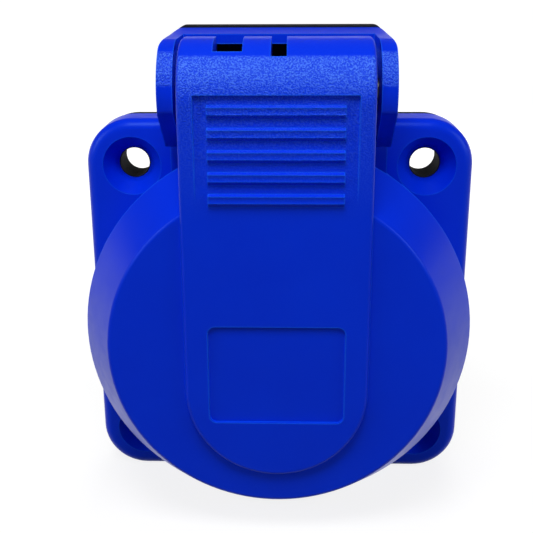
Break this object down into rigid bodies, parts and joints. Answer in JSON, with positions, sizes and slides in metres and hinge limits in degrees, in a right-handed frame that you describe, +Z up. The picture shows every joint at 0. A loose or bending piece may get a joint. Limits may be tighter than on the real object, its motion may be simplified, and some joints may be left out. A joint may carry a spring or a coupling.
{
  "type": "weatherproof panel socket",
  "caption": "Panel-mount mains socket with a sprung round lid hinged over its plug well, a square flange with corner screw holes, a rubber gasket and screw terminals behind.",
  "frame": {"origin": "middle of the mounting plane: the centre of the panel screw pattern on the gasket's rear face", "axes": "+Z up towards the hinge, +X right seen from the front, the lid faces -Y and the panel lies at +Y"},
  "size_m": [0.05, 0.0469, 0.0612],
  "materials": {
    "blue_plastic": "moulded, fine spark-eroded grain with smooth bands",
    "black_rubber": "moulded, matt",
    "base_plastic": "moulded thermoset, satin",
    "brass": "turned and stamped, bright",
    "bronze_strip": "stamped and bent, tinned",
    "plated_steel": "zinc plated",
    "spring_steel": "drawn spring wire and strip"
  },
  "bodies": {
    "housing": {"flange_housing": "blue_plastic", "flange_gasket": "black_rubber", "lid_seal": "black_rubber", "hinge_pin": "plated_steel", "lid_spring": "spring_steel", "contact_base": "base_plastic", "left_contact": "brass", "right_contact": "brass", "left_sleeve_spring": "spring_steel", "right_sleeve_spring": "spring_steel", "earth_strap": "bronze_strip", "left_terminal": "brass", "right_terminal": "brass", "earth_terminal": "brass", "terminal_screws": "plated_steel", "base_screws": "plated_steel"},
    "lid": {"hinged_lid": "blue_plastic"}
  },
  "joints": [
    {"name": "lid_hinge", "type": "hinge", "parent": "housing", "child": "lid", "pos_m": [0, -0.0145, 0.0296], "axis": [-1, 0, 0], "range_deg": [0, 90], "stiffness_Nm_per_rad": 0.01, "springref_deg": -57.3, "deforming": ["lid_spring"]}
  ]
}
